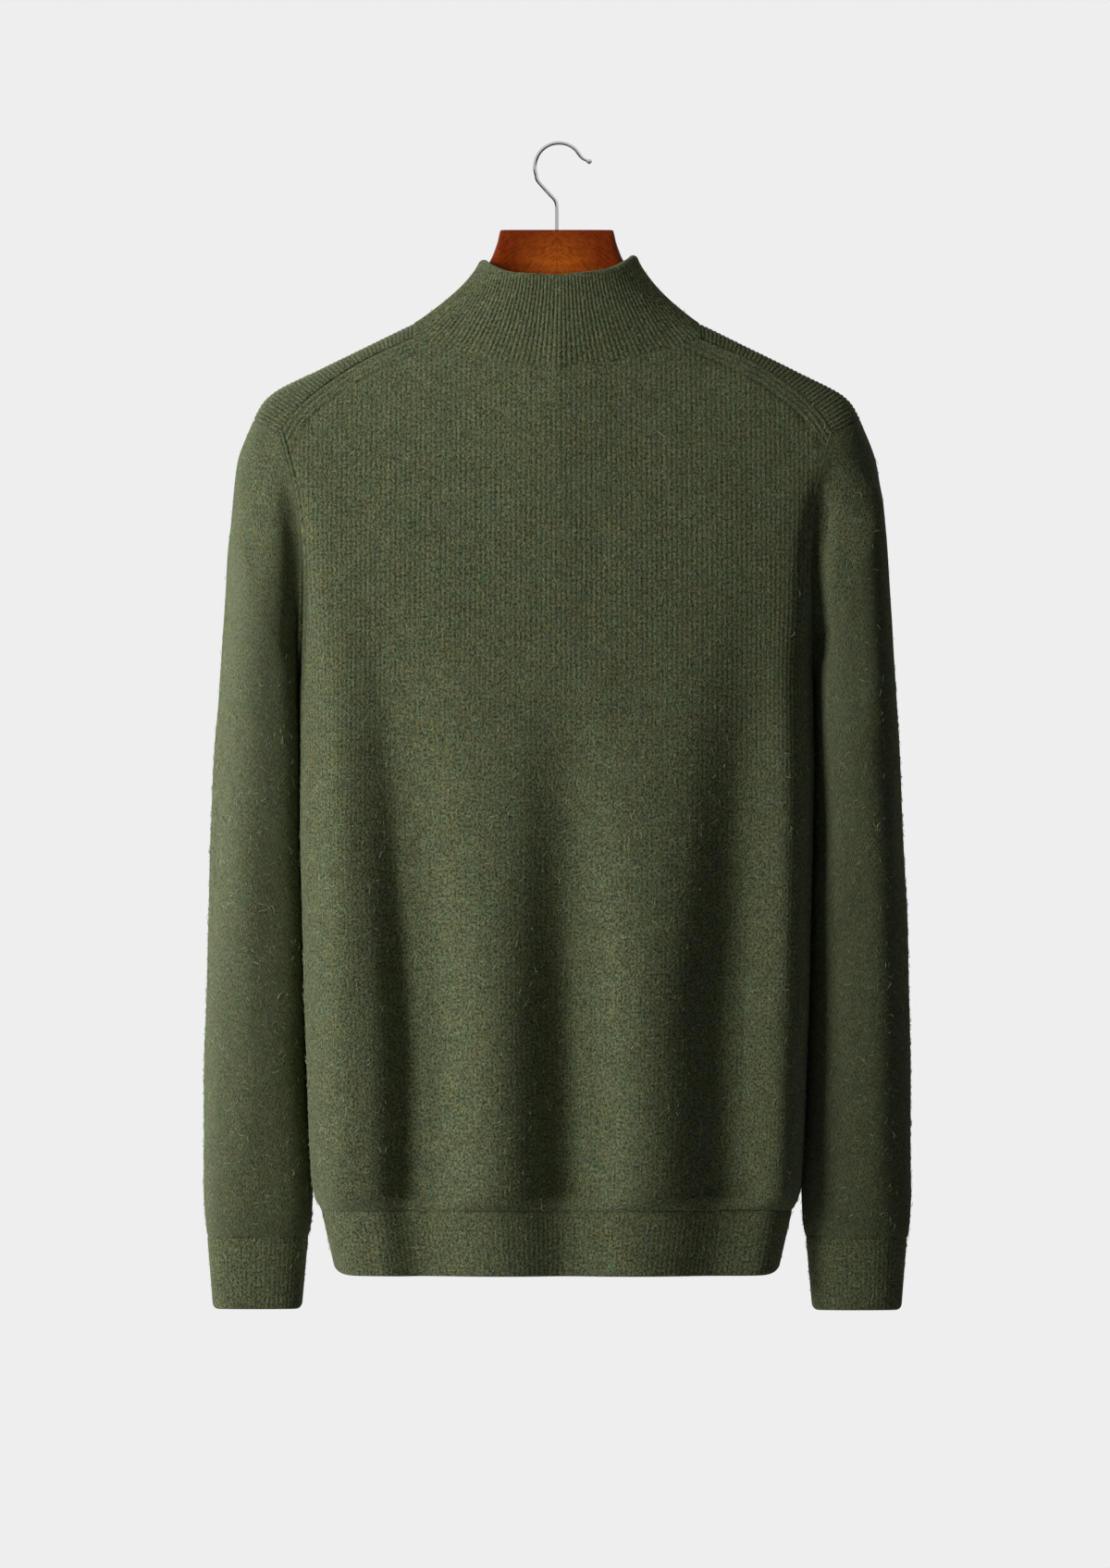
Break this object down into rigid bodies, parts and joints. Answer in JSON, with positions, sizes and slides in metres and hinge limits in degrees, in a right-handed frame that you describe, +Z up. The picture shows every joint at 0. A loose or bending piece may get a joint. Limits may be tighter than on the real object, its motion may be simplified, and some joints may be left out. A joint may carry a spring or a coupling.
{
  "type": "quarter zip sweater on a wooden hanger",
  "caption": "Ribbed knit quarter zip sweater with a stand collar, hung on a wooden hanger with a wire hook.",
  "frame": {"origin": "inside top of the hanger's hook, where a rail carries it", "axes": "+Z up, +X towards the wearer's left, -Y the front with the zip, +Y the back"},
  "size_m": [0.5136, 0.1706, 0.8464],
  "materials": {
    "knit": "soft brushed wool and cashmere knit, heathered moss green",
    "zip_tape": "woven tape, dark moss green",
    "zip_metal": "satin nickel",
    "hook_wire": "polished wire",
    "wood": "red-brown lacquer, glossy"
  },
  "bodies": {
    "garment": {"back": "knit", "front": "knit", "sleeve_left": "knit", "sleeve_left_lower": "knit", "sleeve_right": "knit", "sleeve_right_lower": "knit", "collar": "knit", "hem_band": "knit", "cuff_left": "knit", "cuff_right": "knit", "zip_tape_left": "zip_tape", "zip_tape_right": "zip_tape", "zip_chain": "zip_metal", "zip_stop_bottom": "zip_metal", "zip_stop_left": "zip_metal", "zip_stop_right": "zip_metal", "zip_slider": "zip_metal", "hanger_body": "wood", "hanger_hook": "hook_wire"},
    "pull": {"zip_pull": "zip_metal"}
  },
  "joints": [
    {"name": "zip_pull_hinge", "type": "hinge", "parent": "garment", "child": "pull", "pos_m": [0, -0.06279, -0.1293], "axis": [-1, 0, 0], "range_deg": [0, 160]}
  ]
}
